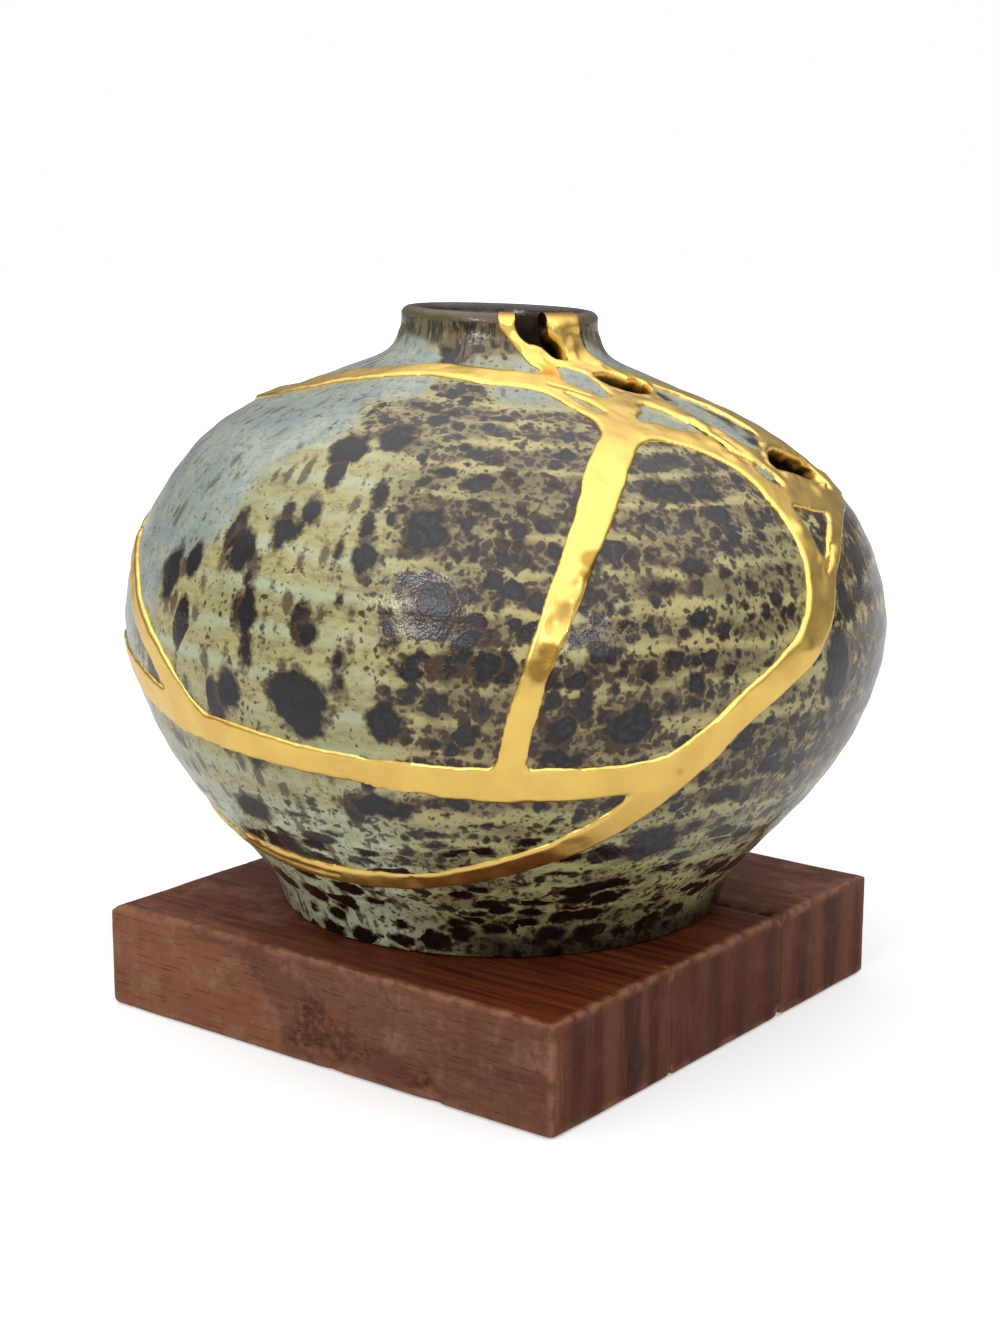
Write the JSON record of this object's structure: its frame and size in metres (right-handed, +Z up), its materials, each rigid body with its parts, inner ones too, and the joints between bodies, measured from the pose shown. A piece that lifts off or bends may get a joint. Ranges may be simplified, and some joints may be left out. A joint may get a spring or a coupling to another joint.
{
  "type": "mended ceramic vase on plinth",
  "caption": "Squat round stoneware vase with a short broken neck, its shards joined by wide gold seams, resting on a low square plinth of joined hardwood boards.",
  "frame": {"origin": "on the vase's axis, at the underside of the plinth", "axes": "+Z up along the vase's axis; +X along the plinth's boards; the front board's long face looks along -Y"},
  "size_m": [0.1494, 0.1491, 0.1379],
  "materials": {
    "glaze": "gloss",
    "gold": "satin",
    "wood": "satin"
  },
  "bodies": {
    "root": {"neck_shard": "glaze", "front_left_shard": "glaze", "front_right_shard": "glaze", "lower_crescent_shard": "glaze", "base_shard": "glaze", "back_shard": "glaze", "oval_shard": "glaze", "triangle_shard": "glaze", "leaf_chip": "glaze", "thin_chip": "glaze", "splinter_shard": "glaze", "gold_repair": "gold", "plinth_front_board": "wood", "plinth_middle_board": "wood", "plinth_back_board": "wood"}
  },
  "joints": []
}
